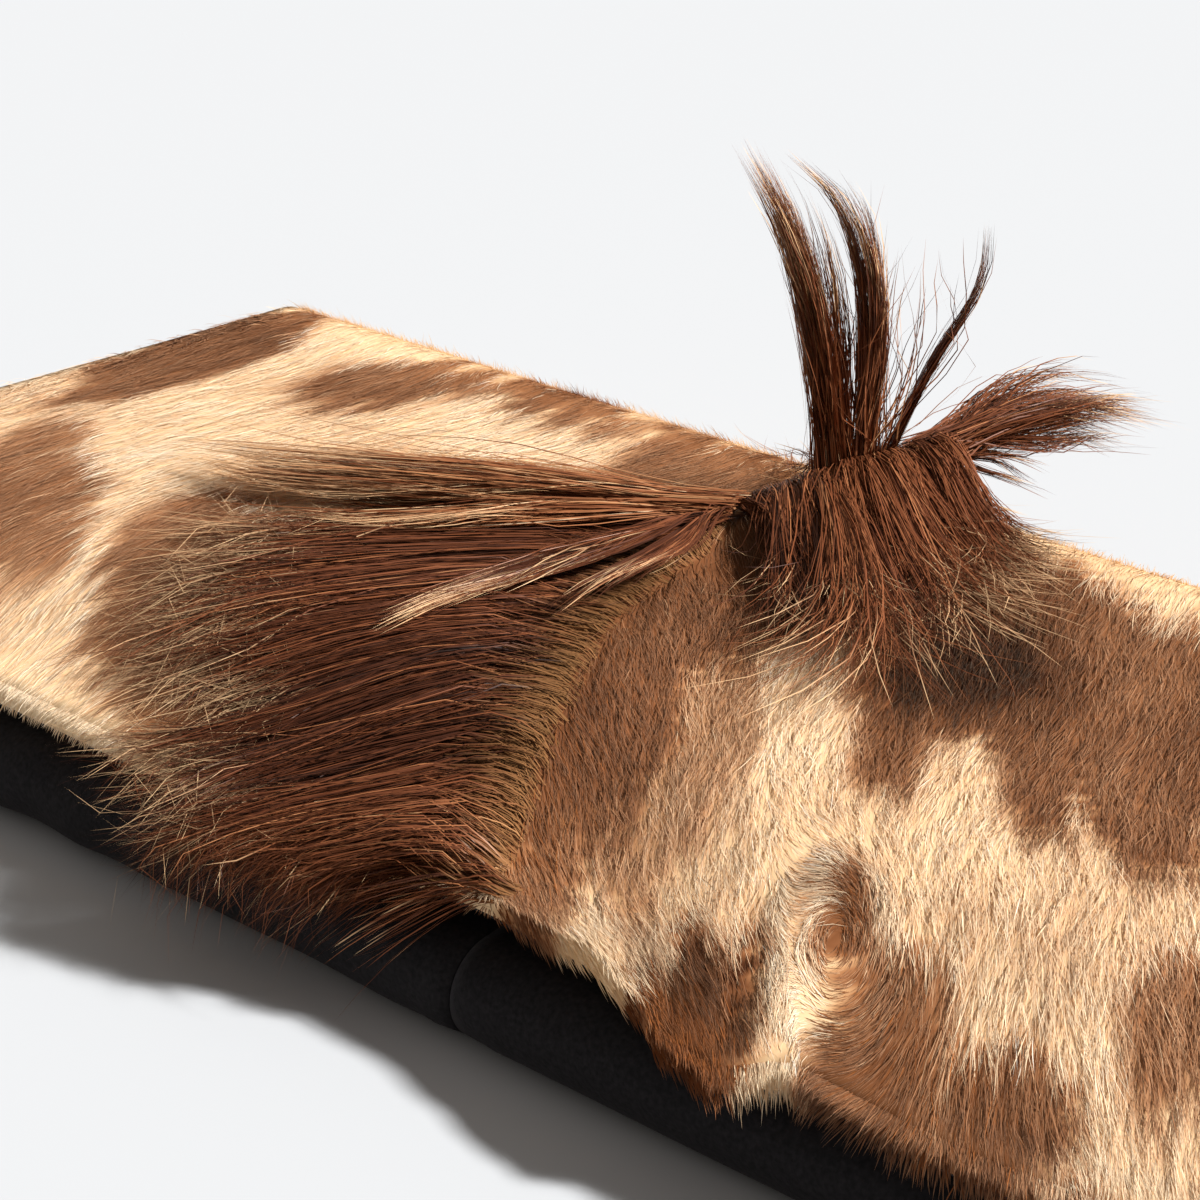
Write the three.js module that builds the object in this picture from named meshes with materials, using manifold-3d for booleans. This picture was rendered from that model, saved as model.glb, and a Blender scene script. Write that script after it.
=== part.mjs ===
// A giraffe neck hide with its mane, folded back and forth in three layers and lying on a flat surface.
// Millimetres, +Z up. The origin is on the surface, under the middle of the folded bundle.
// +X runs along the folds, -Y is the near side, where the black lining shows as a round fold,
// and +Y is the far side, where the hair is on the outside of the fold.
import * as THREE from "three";
import { mergeVertices } from "three/addons/utils/BufferGeometryUtils.js";
import Module from "manifold-3d";

const wasm = await Module();
wasm.setup();

// Driving dimensions
const LENGTH = 460; // along the folds
const HIDE_THICK = 8; // leather and the hair lying on it
const LINING_THICK = 1.5;
const SEAT_GAP = 0.36; // between pieces that touch, measured upright
const HAIR_GAP = 2.4; // springy space where two hair sides face each other
const FAR_RADIUS = 7.9; // of the flesh side in the far fold, which is full and loose
const NEAR_FOLD_Y = -98.5; // axis of the near fold, where the lining is outside
const FAR_FOLD_Y = 96.5; // axis of the far fold, where the hair is outside
const BOTTOM_END_Y = 97; // cut edge of the bottom layer, at the far side
const SEAM_X = 48.5; // the seam between the two panels of the lining
const LINING_INSET = 3.5; // how far the lining stops short of a cut edge

// Levels of the flesh side, where the lining is sewn to the hide, in the three layers
const HALF_GAP = SEAT_GAP / 2;
const BOTTOM_Z = LINING_THICK + HALF_GAP;
const MIDDLE_Z = BOTTOM_Z + 2 * (HALF_GAP + HIDE_THICK) + HAIR_GAP;
const TOP_Z = MIDDLE_Z + 2 * FAR_RADIUS;

// The near cut edge of the top layer: how far it reaches, and how far it hangs below the layer
const NEAR_EDGE = [
  { x: -230, y: -104, droop: 0 },
  { x: -165, y: -108, droop: 0.8 },
  { x: -100, y: -107, droop: 0.6 },
  { x: -40, y: -107.5, droop: 0.4 },
  { x: 10, y: -107, droop: 0 },
  { x: 50, y: -105, droop: -2 },
  { x: 76, y: -106, droop: -1.5 },
  { x: 93, y: -111, droop: 0.6 },
  { x: 106, y: -116.5, droop: 3.2 },
  { x: 118, y: -118, droop: 4 },
  { x: 131, y: -111, droop: 1 },
  { x: 165, y: -112, droop: 1.5 },
  { x: 230, y: -107, droop: 0 },
];
const DROOP_REACH = 22; // the width of the strip that hangs

// How the top layer rises and dips: soft bumps with their middle, rise, half sizes and turn in degrees
const RELIEF = [
  { name: "mane ridge", x: -3, y: 72, rise: 9, long: 42, wide: 13, turn: 58 },
  { name: "mane parting", x: 12, y: -32, rise: 2.6, long: 80, wide: 12, turn: 112 },
  { name: "hollow beside the mane", x: 42, y: -38, rise: -1.6, long: 60, wide: 13, turn: 112 },
  { name: "near lobe", x: 100, y: -92, rise: 2.2, long: 17, wide: 13, turn: 0 },
  { name: "crease", x: 107, y: -92, rise: -4.2, long: 15, wide: 5, turn: 120 },
  { name: "whorl", x: 121, y: -80, rise: -1.4, long: 9, wide: 8, turn: 0 },
  { name: "right swell", x: 150, y: -30, rise: 2.4, long: 60, wide: 40, turn: 15 },
  { name: "left swell", x: -120, y: -20, rise: 2.2, long: 70, wide: 40, turn: -10 },
  { name: "left dip", x: -40, y: 40, rise: -1.8, long: 50, wide: 30, turn: 20 },
];
const SHOULDER_DROP = 10.4; // from the level of the far fold down to the near edge
const SHOULDER_WIDE = 58;
const MIDDLE_RISE = 6; // how far the middle layer stands up between the folds
const MIDDLE_NEAR = 46;
const MIDDLE_FAR = 34;

// Mesh steps
const COARSE_STEP = 34;
const FINE_STEP = 15;
const FINE_FROM = -27;
const FINE_TO = 140;
const STEPS = { bottom: 3, nearFold: 7, middle: 6, farFold: 6, top: 15 };

// The mane: where it grows from the hide, in plan, from the near edge to the far fold
const MANE_LINE = new THREE.CatmullRomCurve3(
  [
    [51, -102],
    [37, -76],
    [20, -47],
    [1, -15],
    [-11, 19],
    [-15, 42],
    [-16, 54],
    [-8, 67],
    [2, 80],
    [12, 96],
  ].map(([x, y]) => new THREE.Vector3(x, y, 0)),
);
const FALL_SHARE = 0.7; // the share of the line whose hair lies flat, from the near edge
const STRIP_WIDE = 8;
const STRIP_THICK = 2.2;
const STRIP_LIFT = 0.95; // above the hide's hair, so that the straight steps of the strip clear it
const STRIP_STEP = 10; // about the length of one straight step
const CREST_TALL = 13;
const CREST_TOP_WIDE = 4.5;
const LOCK_SIDES = 3;
const LOCK_STEPS = 4;

const clamp = THREE.MathUtils.clamp;
const lerp = THREE.MathUtils.lerp;
const smooth = (t) => clamp(t, 0, 1) ** 2 * (3 - 2 * clamp(t, 0, 1));

// A value from a table's column, eased between its rows
function along(table, x, column) {
  const after = Math.max(1, table.findIndex((row) => row.x >= x));
  const [a, b] = x > table.at(-1).x ? table.slice(-2) : [table[after - 1], table[after]];
  return lerp(a[column], b[column], smooth((x - a.x) / (b.x - a.x)));
}

function bump({ x: cx, y: cy, rise, long, wide, turn }, x, y) {
  const angle = THREE.MathUtils.degToRad(turn);
  const u = (x - cx) * Math.cos(angle) + (y - cy) * Math.sin(angle);
  const v = (y - cy) * Math.cos(angle) - (x - cx) * Math.sin(angle);
  return rise * Math.exp(-((u / long) ** 2) - (v / wide) ** 2);
}

function topRise(x, y) {
  const inside = y - along(NEAR_EDGE, x, "y");
  const hang = along(NEAR_EDGE, x, "droop") * (1 - smooth(inside / DROOP_REACH));
  const shoulder = SHOULDER_DROP * (1 - smooth(inside / SHOULDER_WIDE));
  const bumps = RELIEF.reduce((sum, row) => sum + bump(row, x, y), 0);
  const kept = smooth(inside / 14) * smooth((FAR_FOLD_Y + 10 - y) / 24);
  return bumps * kept - hang - shoulder;
}

function middleRise(y) {
  return MIDDLE_RISE * smooth((y - NEAR_FOLD_Y) / MIDDLE_NEAR) * smooth((FAR_FOLD_Y - y) / MIDDLE_FAR);
}

// The section at x: points of the flesh side from the bottom layer's cut edge to the top layer's,
// each with the direction towards the hair and how much it follows the middle and the top layer
function section(x) {
  const points = [];
  const add = (y, z, ny, nz, middle, top) => {
    const rise = middle * middleRise(y) + top * topRise(x, y);
    points.push({ y, z: z + rise, ny, nz });
  };
  const run = (from, to, count, place) => {
    for (let i = 0; i < count; i++) place(lerp(from, to, i / count));
  };
  const fold = (axis, low, high, side, count, weights) =>
    run(0, Math.PI, count, (angle) => {
      const radius = (high - low) / 2;
      const [sin, cos] = [Math.sin(angle), Math.cos(angle)];
      const share = (1 - cos) / 2;
      const hair = side < 0 ? [sin, cos] : [sin, -cos];
      add(axis + side * radius * sin, low + radius * (1 - cos), ...hair, ...weights(share));
    });
  add(BOTTOM_END_Y, BOTTOM_Z, 0, 1, 0, 0);
  run(BOTTOM_END_Y - LINING_INSET, NEAR_FOLD_Y, STEPS.bottom, (y) => add(y, BOTTOM_Z, 0, 1, 0, 0));
  fold(NEAR_FOLD_Y, BOTTOM_Z, MIDDLE_Z, -1, STEPS.nearFold, (share) => [share, 0]);
  run(NEAR_FOLD_Y, FAR_FOLD_Y, STEPS.middle, (y) => add(y, MIDDLE_Z, 0, -1, 1, 0));
  fold(FAR_FOLD_Y, MIDDLE_Z, TOP_Z, 1, STEPS.farFold, (share) => [1 - share, share]);
  const edge = along(NEAR_EDGE, x, "y");
  run(FAR_FOLD_Y, edge + LINING_INSET, STEPS.top, (y) => add(y, TOP_Z, 0, 1, 0, 1));
  for (const y of [edge + LINING_INSET, edge]) add(y, TOP_Z, 0, 1, 0, 1);
  return points;
}

// The ends of the layers don't line up: how far each point of the section stands in or out
const endShift = (share, side) => 3.2 * Math.sin(share * 9.5 + side * 1.3) - 0.8;

function stations() {
  const found = [-LENGTH / 2];
  while (found.at(-1) < LENGTH / 2 - 1) {
    const x = found.at(-1);
    const step = x >= FINE_FROM - 1 && x < FINE_TO ? FINE_STEP : COARSE_STEP;
    found.push(x < SEAM_X && x + step > SEAM_X ? SEAM_X : Math.min(x + step, LENGTH / 2));
  }
  return found;
}

// A mesh from lists of points and of three-cornered faces
function geometryFrom(vertices, faces) {
  const made = new THREE.BufferGeometry();
  made.setAttribute("position", new THREE.Float32BufferAttribute(vertices.flat(), 3));
  made.setIndex(faces.flat());
  return made;
}

// A sheet that follows the folds between two distances from the flesh side, less some points at each cut edge
function foldedSheet(xs, low, high, less) {
  const vertices = [];
  const faces = [];
  const whole = section(0).length;
  const count = whole - 2 * less;
  for (const x of xs) {
    const side = Math.abs(x) < LENGTH / 2 ? 0 : Math.sign(x);
    section(x)
      .slice(less, whole - less)
      .forEach((p, j) => {
        const shift = side * endShift((j + less) / whole, side);
        for (const reach of [low, high]) vertices.push([x + shift, p.y + p.ny * reach, p.z + p.nz * reach]);
      });
  }
  const at = (i, j, side) => 2 * (i * count + j) + side;
  const quad = (a, b, c, d) => faces.push([a, b, c], [a, c, d]);
  for (let i = 0; i + 1 < xs.length; i++) {
    for (let j = 0; j + 1 < count; j++) {
      quad(at(i, j, 0), at(i + 1, j, 0), at(i + 1, j + 1, 0), at(i, j + 1, 0));
      faces.push([at(i, j, 1), at(i + 1, j + 1, 1), at(i + 1, j, 1)]);
      faces.push([at(i, j, 1), at(i, j + 1, 1), at(i + 1, j + 1, 1)]);
    }
    quad(at(i, 0, 1), at(i + 1, 0, 1), at(i + 1, 0, 0), at(i, 0, 0));
    quad(at(i, count - 1, 0), at(i + 1, count - 1, 0), at(i + 1, count - 1, 1), at(i, count - 1, 1));
  }
  const last = xs.length - 1;
  for (let j = 0; j + 1 < count; j++) {
    quad(at(0, j, 1), at(0, j, 0), at(0, j + 1, 0), at(0, j + 1, 1));
    quad(at(last, j, 0), at(last, j, 1), at(last, j + 1, 1), at(last, j + 1, 0));
  }
  return geometryFrom(vertices, faces);
}

// Joins and meshes
function solidOf(geometry) {
  const merged = mergeVertices(geometry, 1e-4);
  return new wasm.Manifold(
    new wasm.Mesh({
      numProp: 3,
      vertProperties: merged.attributes.position.array,
      triVerts: new Uint32Array(merged.index.array),
    }),
  );
}

function joined(geometries) {
  const [first, ...rest] = geometries.map(solidOf);
  const { vertProperties, triVerts } = rest.reduce((sum, solid) => sum.add(solid), first).getMesh();
  const made = new THREE.BufferGeometry();
  made.setAttribute("position", new THREE.BufferAttribute(vertProperties, 3));
  made.setIndex(new THREE.BufferAttribute(triVerts, 1));
  return made;
}

// A tapered bar through rings of corners, closed by flat ends
function barThrough(rings) {
  const sides = rings[0].length;
  const faces = [];
  const at = (i, k) => i * sides + (k % sides);
  for (let i = 0; i + 1 < rings.length; i++)
    for (let k = 0; k < sides; k++) {
      faces.push([at(i, k), at(i, k + 1), at(i + 1, k + 1)], [at(i, k), at(i + 1, k + 1), at(i + 1, k)]);
    }
  for (let k = 1; k + 1 < sides; k++) {
    faces.push([at(0, 0), at(0, k + 1), at(0, k)]);
    faces.push([at(rings.length - 1, 0), at(rings.length - 1, k), at(rings.length - 1, k + 1)]);
  }
  return geometryFrom(
    rings.flat().map((p) => p.toArray()),
    faces,
  );
}

// One lock of hair: a flat three-sided strand that tapers from its root to its tip
function lock(curve, wide, thick) {
  const rings = [];
  for (let i = 0; i <= LOCK_STEPS; i++) {
    const t = i / LOCK_STEPS;
    const forward = curve.getTangent(t);
    const across = new THREE.Vector3(-forward.y, forward.x, 0.001).normalize();
    const up = new THREE.Vector3().crossVectors(forward, across);
    const size = i === LOCK_STEPS ? 0.12 : 1 - 0.45 * t * t;
    const ring = [];
    for (let k = 0; k < LOCK_SIDES; k++) {
      const angle = (2 * Math.PI * k) / LOCK_SIDES + Math.PI / 2;
      ring.push(
        curve
          .getPoint(t)
          .addScaledVector(across, (size * wide * Math.cos(angle)) / 2)
          .addScaledVector(up, (size * thick * Math.sin(angle)) / 2),
      );
    }
    rings.push(ring);
  }
  return barThrough(rings);
}

// Materials
const finish = (color, roughness) => new THREE.MeshStandardMaterial({ color, roughness, metalness: 0 });
const hideFinish = finish(0xc29a6b, 0.75);
const liningFinish = finish(0x17161a, 0.85);
const maneFinish = finish(0x5f3420, 0.5);

function mesh(name, geometry, material) {
  const made = new THREE.Mesh(geometry, material);
  made.name = name;
  return made;
}

// Hide and lining
const xs = stations();
const hide = mesh("hide", foldedSheet(xs, HALF_GAP, HALF_GAP + HIDE_THICK, 0), hideFinish);

function liningPanel(name, inside, seamSide) {
  const own = xs.filter(inside).map((x) => (x === SEAM_X ? x + seamSide * HALF_GAP : x));
  return mesh(name, foldedSheet(own, -HALF_GAP - LINING_THICK, -HALF_GAP, 1), liningFinish);
}

const linings = [
  liningPanel("lining_left", (x) => x <= SEAM_X, -1),
  liningPanel("lining_right", (x) => x >= SEAM_X, 1),
];

// Height of the hair under a point in plan, read from the hide's own faces
const caster = new THREE.Raycaster();
const SKY = 400;
function hairTop(x, y) {
  caster.set(new THREE.Vector3(x, y, SKY), new THREE.Vector3(0, 0, -1));
  const [hit] = caster.intersectObject(hide);
  return hit ? hit.point.z : undefined;
}

// The flat part of the mane: a strip along the line, with locks combed to the left in three layers
const FALL_LAYERS = [
  { lift: 3.0, share: 0.62, offset: 0.0 },
  { lift: 5.0, share: 0.84, offset: 0.5 },
  { lift: 7.0, share: 1.0, offset: 0.25 },
];
const FALL_LOCKS = 19; // in each layer
const LOCK_WIDE = 5;
const LOCK_THICK = 1.5;
// Where the locks end, by their place along the strip: how far they run, their turn in degrees and their fall
const FALL_REACH = [
  { x: 0, long: 52, turn: 213, hang: 30 },
  { x: 0.08, long: 74, turn: 213, hang: 28 },
  { x: 0.2, long: 94, turn: 212, hang: 24 },
  { x: 0.4, long: 108, turn: 212, hang: 14 },
  { x: 0.7, long: 118, turn: 210, hang: 0 },
  { x: 1, long: 136, turn: 206, hang: 0 },
];

function stripRing(t, widths, base, tall) {
  const point = MANE_LINE.getPointAt(t);
  const forward = MANE_LINE.getTangentAt(t);
  const across = new THREE.Vector3(forward.y, -forward.x, 0);
  const heights = [];
  for (const step of [-STRIP_STEP / 2, 0, STRIP_STEP / 2])
    for (const side of [-0.5, -0.25, 0, 0.25, 0.5]) {
      const p = point.clone().addScaledVector(across, side * STRIP_WIDE).addScaledVector(forward, step);
      heights.push(hairTop(p.x, p.y) ?? 0);
    }
  const z = Math.max(...heights) + base;
  return [
    [-widths[0], z],
    [-widths[1], z + tall],
    [widths[1], z + tall],
    [widths[0], z],
  ].map(([wide, level]) => point.clone().setZ(level).addScaledVector(across, wide / 2));
}

function fallLock(share, { lift, share: reach }) {
  const root = MANE_LINE.getPointAt(lerp(0.012, FALL_SHARE - 0.012, share));
  const long = reach * along(FALL_REACH, share, "long");
  const angle = THREE.MathUtils.degToRad(along(FALL_REACH, share, "turn"));
  const hang = along(FALL_REACH, share, "hang");
  const points = [];
  for (let i = 0; i <= LOCK_STEPS; i++) {
    const t = i / LOCK_STEPS;
    const x = root.x + long * t * Math.cos(angle);
    const y = root.y + long * t * Math.sin(angle);
    const rise = lift * smooth(t * 3) + STRIP_LIFT + STRIP_THICK * 0.45;
    const edge = along(NEAR_EDGE, x, "y");
    const ground = hairTop(x, Math.max(y, edge + 3)) ?? TOP_Z;
    const beyond = Math.max(0, edge - 2 - y);
    points.push(new THREE.Vector3(x, y, ground + rise - (hang * beyond) / 34));
  }
  return lock(new THREE.CatmullRomCurve3(points), LOCK_WIDE, LOCK_THICK);
}

function maneFall() {
  const rings = [];
  for (let i = 0; i <= 14; i++) {
    rings.push(stripRing((FALL_SHARE * i) / 14, [STRIP_WIDE, STRIP_WIDE * 0.7], STRIP_LIFT, STRIP_THICK));
  }
  const pieces = [barThrough(rings)];
  for (const layer of FALL_LAYERS)
    for (let i = 0; i < FALL_LOCKS; i++) {
      pieces.push(fallLock((i + layer.offset) / FALL_LOCKS, layer));
    }
  return mesh("mane_fall", joined(pieces), maneFinish);
}

// The standing part of the mane: a fin along the rest of the line, with tufts of locks.
// Each tuft has its roots along the fin, its reach in x, y and z, how far its middle bows out,
// the spread of its tips, how much longer its middle locks are and its least height over the hide.
const CREST_FROM = FALL_SHARE + 0.03;
const TUFTS = [
  { name: "left", roots: [0.02, 0.1], rows: 2, each: 5, reach: [-104, -62, -6], bow: 3, spread: 22, swell: 0, clear: 13 },
  { name: "front", roots: [0.06, 0.95], rows: 2, each: 11, reach: [38, -40, -11], bow: 8, spread: 8, swell: 0.6, clear: 3.4 },
  { name: "upright", roots: [0.42, 0.6], rows: 2, each: 5, reach: [-15, -14, 80], bow: 6, spread: 16, swell: 0, clear: 9 },
  { name: "thin", roots: [0.64, 0.74], rows: 1, each: 4, reach: [13, 17, 48], bow: 4, spread: 8, swell: 0, clear: 9 },
  { name: "outward", roots: [0.9, 0.99], rows: 2, each: 5, reach: [8, 78, -2], bow: 14, spread: 18, swell: 0, clear: 9 },
  { name: "low", roots: [0.94, 0.99], rows: 1, each: 3, reach: [20, 34, -12], bow: 4, spread: 8, swell: 0, clear: 5 },
];
const TUFT_WIDE = 2.6;
const TUFT_THICK = 1.7;
const ROW_RISE = 3.2; // between two rows of locks that lie over one another

function tuftLock(tuft, row, column) {
  const share = (column + row / 2) / tuft.each;
  const place = lerp(CREST_FROM, 1, lerp(...tuft.roots, share));
  const [low, , high] = stripRing(place, [0, 0], STRIP_LIFT, CREST_TALL);
  const root = low.lerp(high, 0.62 + 0.22 * row);
  const aside = MANE_LINE.getTangentAt(place).multiplyScalar((share - 0.5) * tuft.spread);
  const ragged = 1 - 0.22 * row - 0.12 * Math.sin(5 * column + 2 * row) ** 2;
  const length = ragged * (1 + tuft.swell * Math.sin(Math.PI * share));
  const tip = new THREE.Vector3(...tuft.reach).multiplyScalar(length).add(root).add(aside);
  const middle = root.clone().lerp(tip, 0.5).add(new THREE.Vector3(0, 0, tuft.bow));
  const path = new THREE.QuadraticBezierCurve3(root, middle, tip).getPoints(LOCK_STEPS);
  for (const point of path.slice(1)) {
    point.z = Math.max(point.z, (hairTop(point.x, point.y) ?? 0) + tuft.clear + ROW_RISE * row);
  }
  return lock(new THREE.CatmullRomCurve3(path), TUFT_WIDE, TUFT_THICK);
}

function tuftLocks(tuft) {
  const locks = [];
  for (let row = 0; row < tuft.rows; row++)
    for (let column = 0; column < tuft.each; column++) locks.push(tuftLock(tuft, row, column));
  return locks;
}

function maneCrest() {
  const rings = [];
  for (let i = 0; i <= 7; i++) {
    rings.push(stripRing(lerp(CREST_FROM, 1, i / 7), [STRIP_WIDE, CREST_TOP_WIDE], STRIP_LIFT, CREST_TALL));
  }
  return mesh("mane_crest", joined([barThrough(rings), ...TUFTS.flatMap(tuftLocks)]), maneFinish);
}

const foldedHide = new THREE.Group();
foldedHide.add(hide, ...linings, maneFall(), maneCrest());

export default foldedHide;
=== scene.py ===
import bpy
import numpy as np
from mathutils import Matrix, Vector


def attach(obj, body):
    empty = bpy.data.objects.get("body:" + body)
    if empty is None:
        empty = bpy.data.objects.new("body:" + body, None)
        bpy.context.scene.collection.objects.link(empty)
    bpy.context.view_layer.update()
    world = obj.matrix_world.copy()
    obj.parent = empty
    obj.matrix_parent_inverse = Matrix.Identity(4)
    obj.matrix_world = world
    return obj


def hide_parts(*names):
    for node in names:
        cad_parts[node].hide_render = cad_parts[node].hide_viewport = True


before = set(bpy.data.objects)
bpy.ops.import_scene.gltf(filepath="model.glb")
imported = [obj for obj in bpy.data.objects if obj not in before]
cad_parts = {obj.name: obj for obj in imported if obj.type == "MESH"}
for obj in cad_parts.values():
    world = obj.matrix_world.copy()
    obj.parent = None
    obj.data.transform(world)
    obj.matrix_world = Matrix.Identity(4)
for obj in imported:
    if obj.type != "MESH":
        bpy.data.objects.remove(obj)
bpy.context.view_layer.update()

MM = 0.001
rng = np.random.default_rng(7)
DETAIL = 1.0

# Folds, as in the solids
LENGTH = 460
HIDE_THICK = 8
LINING_THICK = 1.5
HALF_GAP = 0.18
HAIR_GAP = 2.4
FAR_RADIUS = 7.9
NEAR_FOLD_Y = -98.5
FAR_FOLD_Y = 96.5
BOTTOM_END_Y = 97
SEAM_X = 48.5
BOTTOM_Z = LINING_THICK + HALF_GAP
MIDDLE_Z = BOTTOM_Z + 2 * (HALF_GAP + HIDE_THICK) + HAIR_GAP
TOP_Z = MIDDLE_Z + 2 * FAR_RADIUS
NEAR_RADIUS = (MIDDLE_Z - BOTTOM_Z) / 2
RELIEF_NEAR = 14  # over how far the relief fades in from the near edge
RELIEF_FAR = 24  # over how far it fades out towards the far fold
RELIEF_PAST = 10  # how far past the far fold's start it ends
DROOP_REACH = 22
SHOULDER_DROP = 10.4
SHOULDER_WIDE = 58
MIDDLE_RISE = 6
MIDDLE_NEAR = 46
MIDDLE_FAR = 34
SKIN_THICK = 6.0  # leather and the dense hair at its root
SKIN_INSET = 4.5  # how far the skin stops short of its hair at a cut edge
CLOTH_INSET = 6.0
HAIR_TOP = HALF_GAP + HIDE_THICK


def rows(names, *values):
    """A table as named columns."""
    return {name: np.array(column, float) for name, column in zip(names.split(), zip(*values))}


NEAR_EDGE = rows(
    "x y droop",
    (-230, -104, 0),
    (-165, -108, 0.8),
    (-100, -107, 0.6),
    (-40, -107.5, 0.4),
    (10, -107, 0),
    (50, -105, -2),
    (76, -106, -1.5),
    (93, -111, 0.6),
    (106, -116.5, 3.2),
    (118, -118, 4),
    (131, -111, 1),
    (165, -112, 1.5),
    (230, -107, 0),
)
RELIEF = rows(
    "x y rise long wide turn",
    (-3, 72, 9, 42, 13, 58),  # mane ridge
    (12, -32, 2.6, 80, 12, 112),  # mane parting
    (42, -38, -1.6, 60, 13, 112),  # hollow beside the mane
    (100, -92, 2.2, 17, 13, 0),  # near lobe
    (107, -92, -1.6, 15, 5, 120),  # crease
    (121, -80, -0.6, 9, 8, 0),  # whorl
    (150, -30, 2.4, 60, 40, 15),  # right swell
    (-120, -20, 2.2, 70, 40, -10),  # left swell
    (-40, 40, -1.8, 50, 30, 20),  # left dip
)


def smooth(t):
    t = np.clip(t, 0, 1)
    return t * t * (3 - 2 * t)


def mix(a, b, t):
    return a + (b - a) * t


def along(table, column, x):
    """A value from a table's column, eased between its rows."""
    xs = table["x"]
    i = np.clip(np.searchsorted(xs, x) - 1, 0, len(xs) - 2)
    t = smooth((x - xs[i]) / (xs[i + 1] - xs[i]))
    return mix(table[column][i], table[column][i + 1], t)


def ellipse_distance(table, k, x, y):
    """How far a point is from the middle of row k's turned ellipse, 1 at its rim."""
    angle = np.radians(table["turn"][k])
    dx, dy = x - table["x"][k], y - table["y"][k]
    u = dx * np.cos(angle) + dy * np.sin(angle)
    v = dy * np.cos(angle) - dx * np.sin(angle)
    return np.hypot(u / table["long"][k], v / table["wide"][k])


def top_rise(x, y):
    inside = y - along(NEAR_EDGE, "y", x)
    hang = along(NEAR_EDGE, "droop", x) * (1 - smooth(inside / DROOP_REACH))
    shoulder = SHOULDER_DROP * (1 - smooth(inside / SHOULDER_WIDE))
    bumps = 0
    for k, rise in enumerate(RELIEF["rise"]):
        bumps = bumps + rise * np.exp(-ellipse_distance(RELIEF, k, x, y) ** 2)
    kept = smooth(inside / RELIEF_NEAR) * smooth((FAR_FOLD_Y + RELIEF_PAST - y) / RELIEF_FAR)
    return bumps * kept - hang - shoulder


def middle_rise(y):
    return MIDDLE_RISE * smooth((y - NEAR_FOLD_Y) / MIDDLE_NEAR) * smooth((FAR_FOLD_Y - y) / MIDDLE_FAR)


def hair_top(x, y):
    """Height of the hair on the top layer."""
    inside = np.maximum(y, along(NEAR_EDGE, "y", x) + 3)
    return TOP_Z + top_rise(x, np.minimum(inside, FAR_FOLD_Y + 6)) + HAIR_TOP


# The distance q along the hide: the same as y on the top layer, then on round the far fold,
# back along the middle layer, round the near fold and along the bottom layer
FAR_ARC = FAR_RADIUS + 4
NEAR_ARC = NEAR_RADIUS
Q_FAR = FAR_FOLD_Y
Q_MIDDLE = Q_FAR + np.pi * FAR_ARC
Q_NEAR = Q_MIDDLE + FAR_FOLD_Y - NEAR_FOLD_Y
Q_BOTTOM = Q_NEAR + np.pi * NEAR_ARC
Q_END = Q_BOTTOM + BOTTOM_END_Y - NEAR_FOLD_Y
END_SWAY = 3.0  # how far the layers' ends stand out of line
END_FROM = 196
END_WIDE = 34
SWAY_TURNS = 9.5


def folded(x, q, reach):
    """Points at a distance from the flesh side, which is where the lining is sewn on."""
    x, q, reach = np.broadcast_arrays(np.asarray(x, float), np.asarray(q, float), np.asarray(reach, float))
    far = np.pi - np.clip((q - Q_FAR) / FAR_ARC, 0, np.pi)
    near = np.pi - np.clip((q - Q_NEAR) / NEAR_ARC, 0, np.pi)
    parts = [q < Q_FAR, q < Q_MIDDLE, q < Q_NEAR, q < Q_BOTTOM]

    def pick(top, far_fold, middle, near_fold, bottom):
        return np.select(parts, [top, far_fold, middle, near_fold], bottom)

    y = pick(
        q,
        FAR_FOLD_Y + FAR_RADIUS * np.sin(far),
        FAR_FOLD_Y - (q - Q_MIDDLE),
        NEAR_FOLD_Y - NEAR_RADIUS * np.sin(near),
        NEAR_FOLD_Y + (q - Q_BOTTOM),
    )
    z = pick(
        TOP_Z,
        MIDDLE_Z + FAR_RADIUS * (1 - np.cos(far)),
        MIDDLE_Z,
        BOTTOM_Z + NEAR_RADIUS * (1 - np.cos(near)),
        BOTTOM_Z,
    )
    top = pick(1, (1 - np.cos(far)) / 2, 0, 0, 0)
    middle = pick(0, (1 + np.cos(far)) / 2, 1, (1 - np.cos(near)) / 2, 0)
    z = z + top * top_rise(x, y) + middle * middle_rise(y)
    ny = pick(0, np.sin(far), 0, np.sin(near), 0)
    nz = pick(1, -np.cos(far), -1, np.cos(near), 1)
    share = 1 - (q + 110) / (Q_END + 110)
    end = smooth((np.abs(x) - END_FROM) / END_WIDE)
    sway = END_SWAY * np.sin(share * SWAY_TURNS + np.sign(x) * 1.3) - 0.8
    return np.stack([x + np.sign(x) * end * sway, y + ny * reach, z + nz * reach], -1)


def unit(v):
    return v / np.maximum(np.linalg.norm(v, axis=-1, keepdims=True), 1e-9)


def local_axes(x, q, reach, step=0.6):
    """A point, with the directions of +x, +q and of the hair's growth there."""
    across = unit(folded(x + step, q, reach) - folded(x - step, q, reach))
    onward = unit(folded(x, q + step, reach) - folded(x, q - step, reach))
    out = unit(np.cross(across, onward))
    growth = folded(x, q, reach + 1) - folded(x, q, reach)
    out *= np.sign(np.sum(out * growth, -1, keepdims=True))
    return folded(x, q, reach), across, onward, out


NOISE_CELLS = 128


def noise(x, y, size, seed):
    """Smooth noise from 0 to 1."""
    table = np.random.default_rng(seed).random((NOISE_CELLS, NOISE_CELLS))
    gx, gy = x / size, y / size
    ix, iy = np.floor(gx).astype(int), np.floor(gy).astype(int)
    tx, ty = smooth(gx - ix), smooth(gy - iy)

    def at(i, j):
        return table[(ix + i) % NOISE_CELLS, (iy + j) % NOISE_CELLS]

    return mix(mix(at(0, 0), at(1, 0), tx), mix(at(0, 1), at(1, 1), tx), ty)


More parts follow.
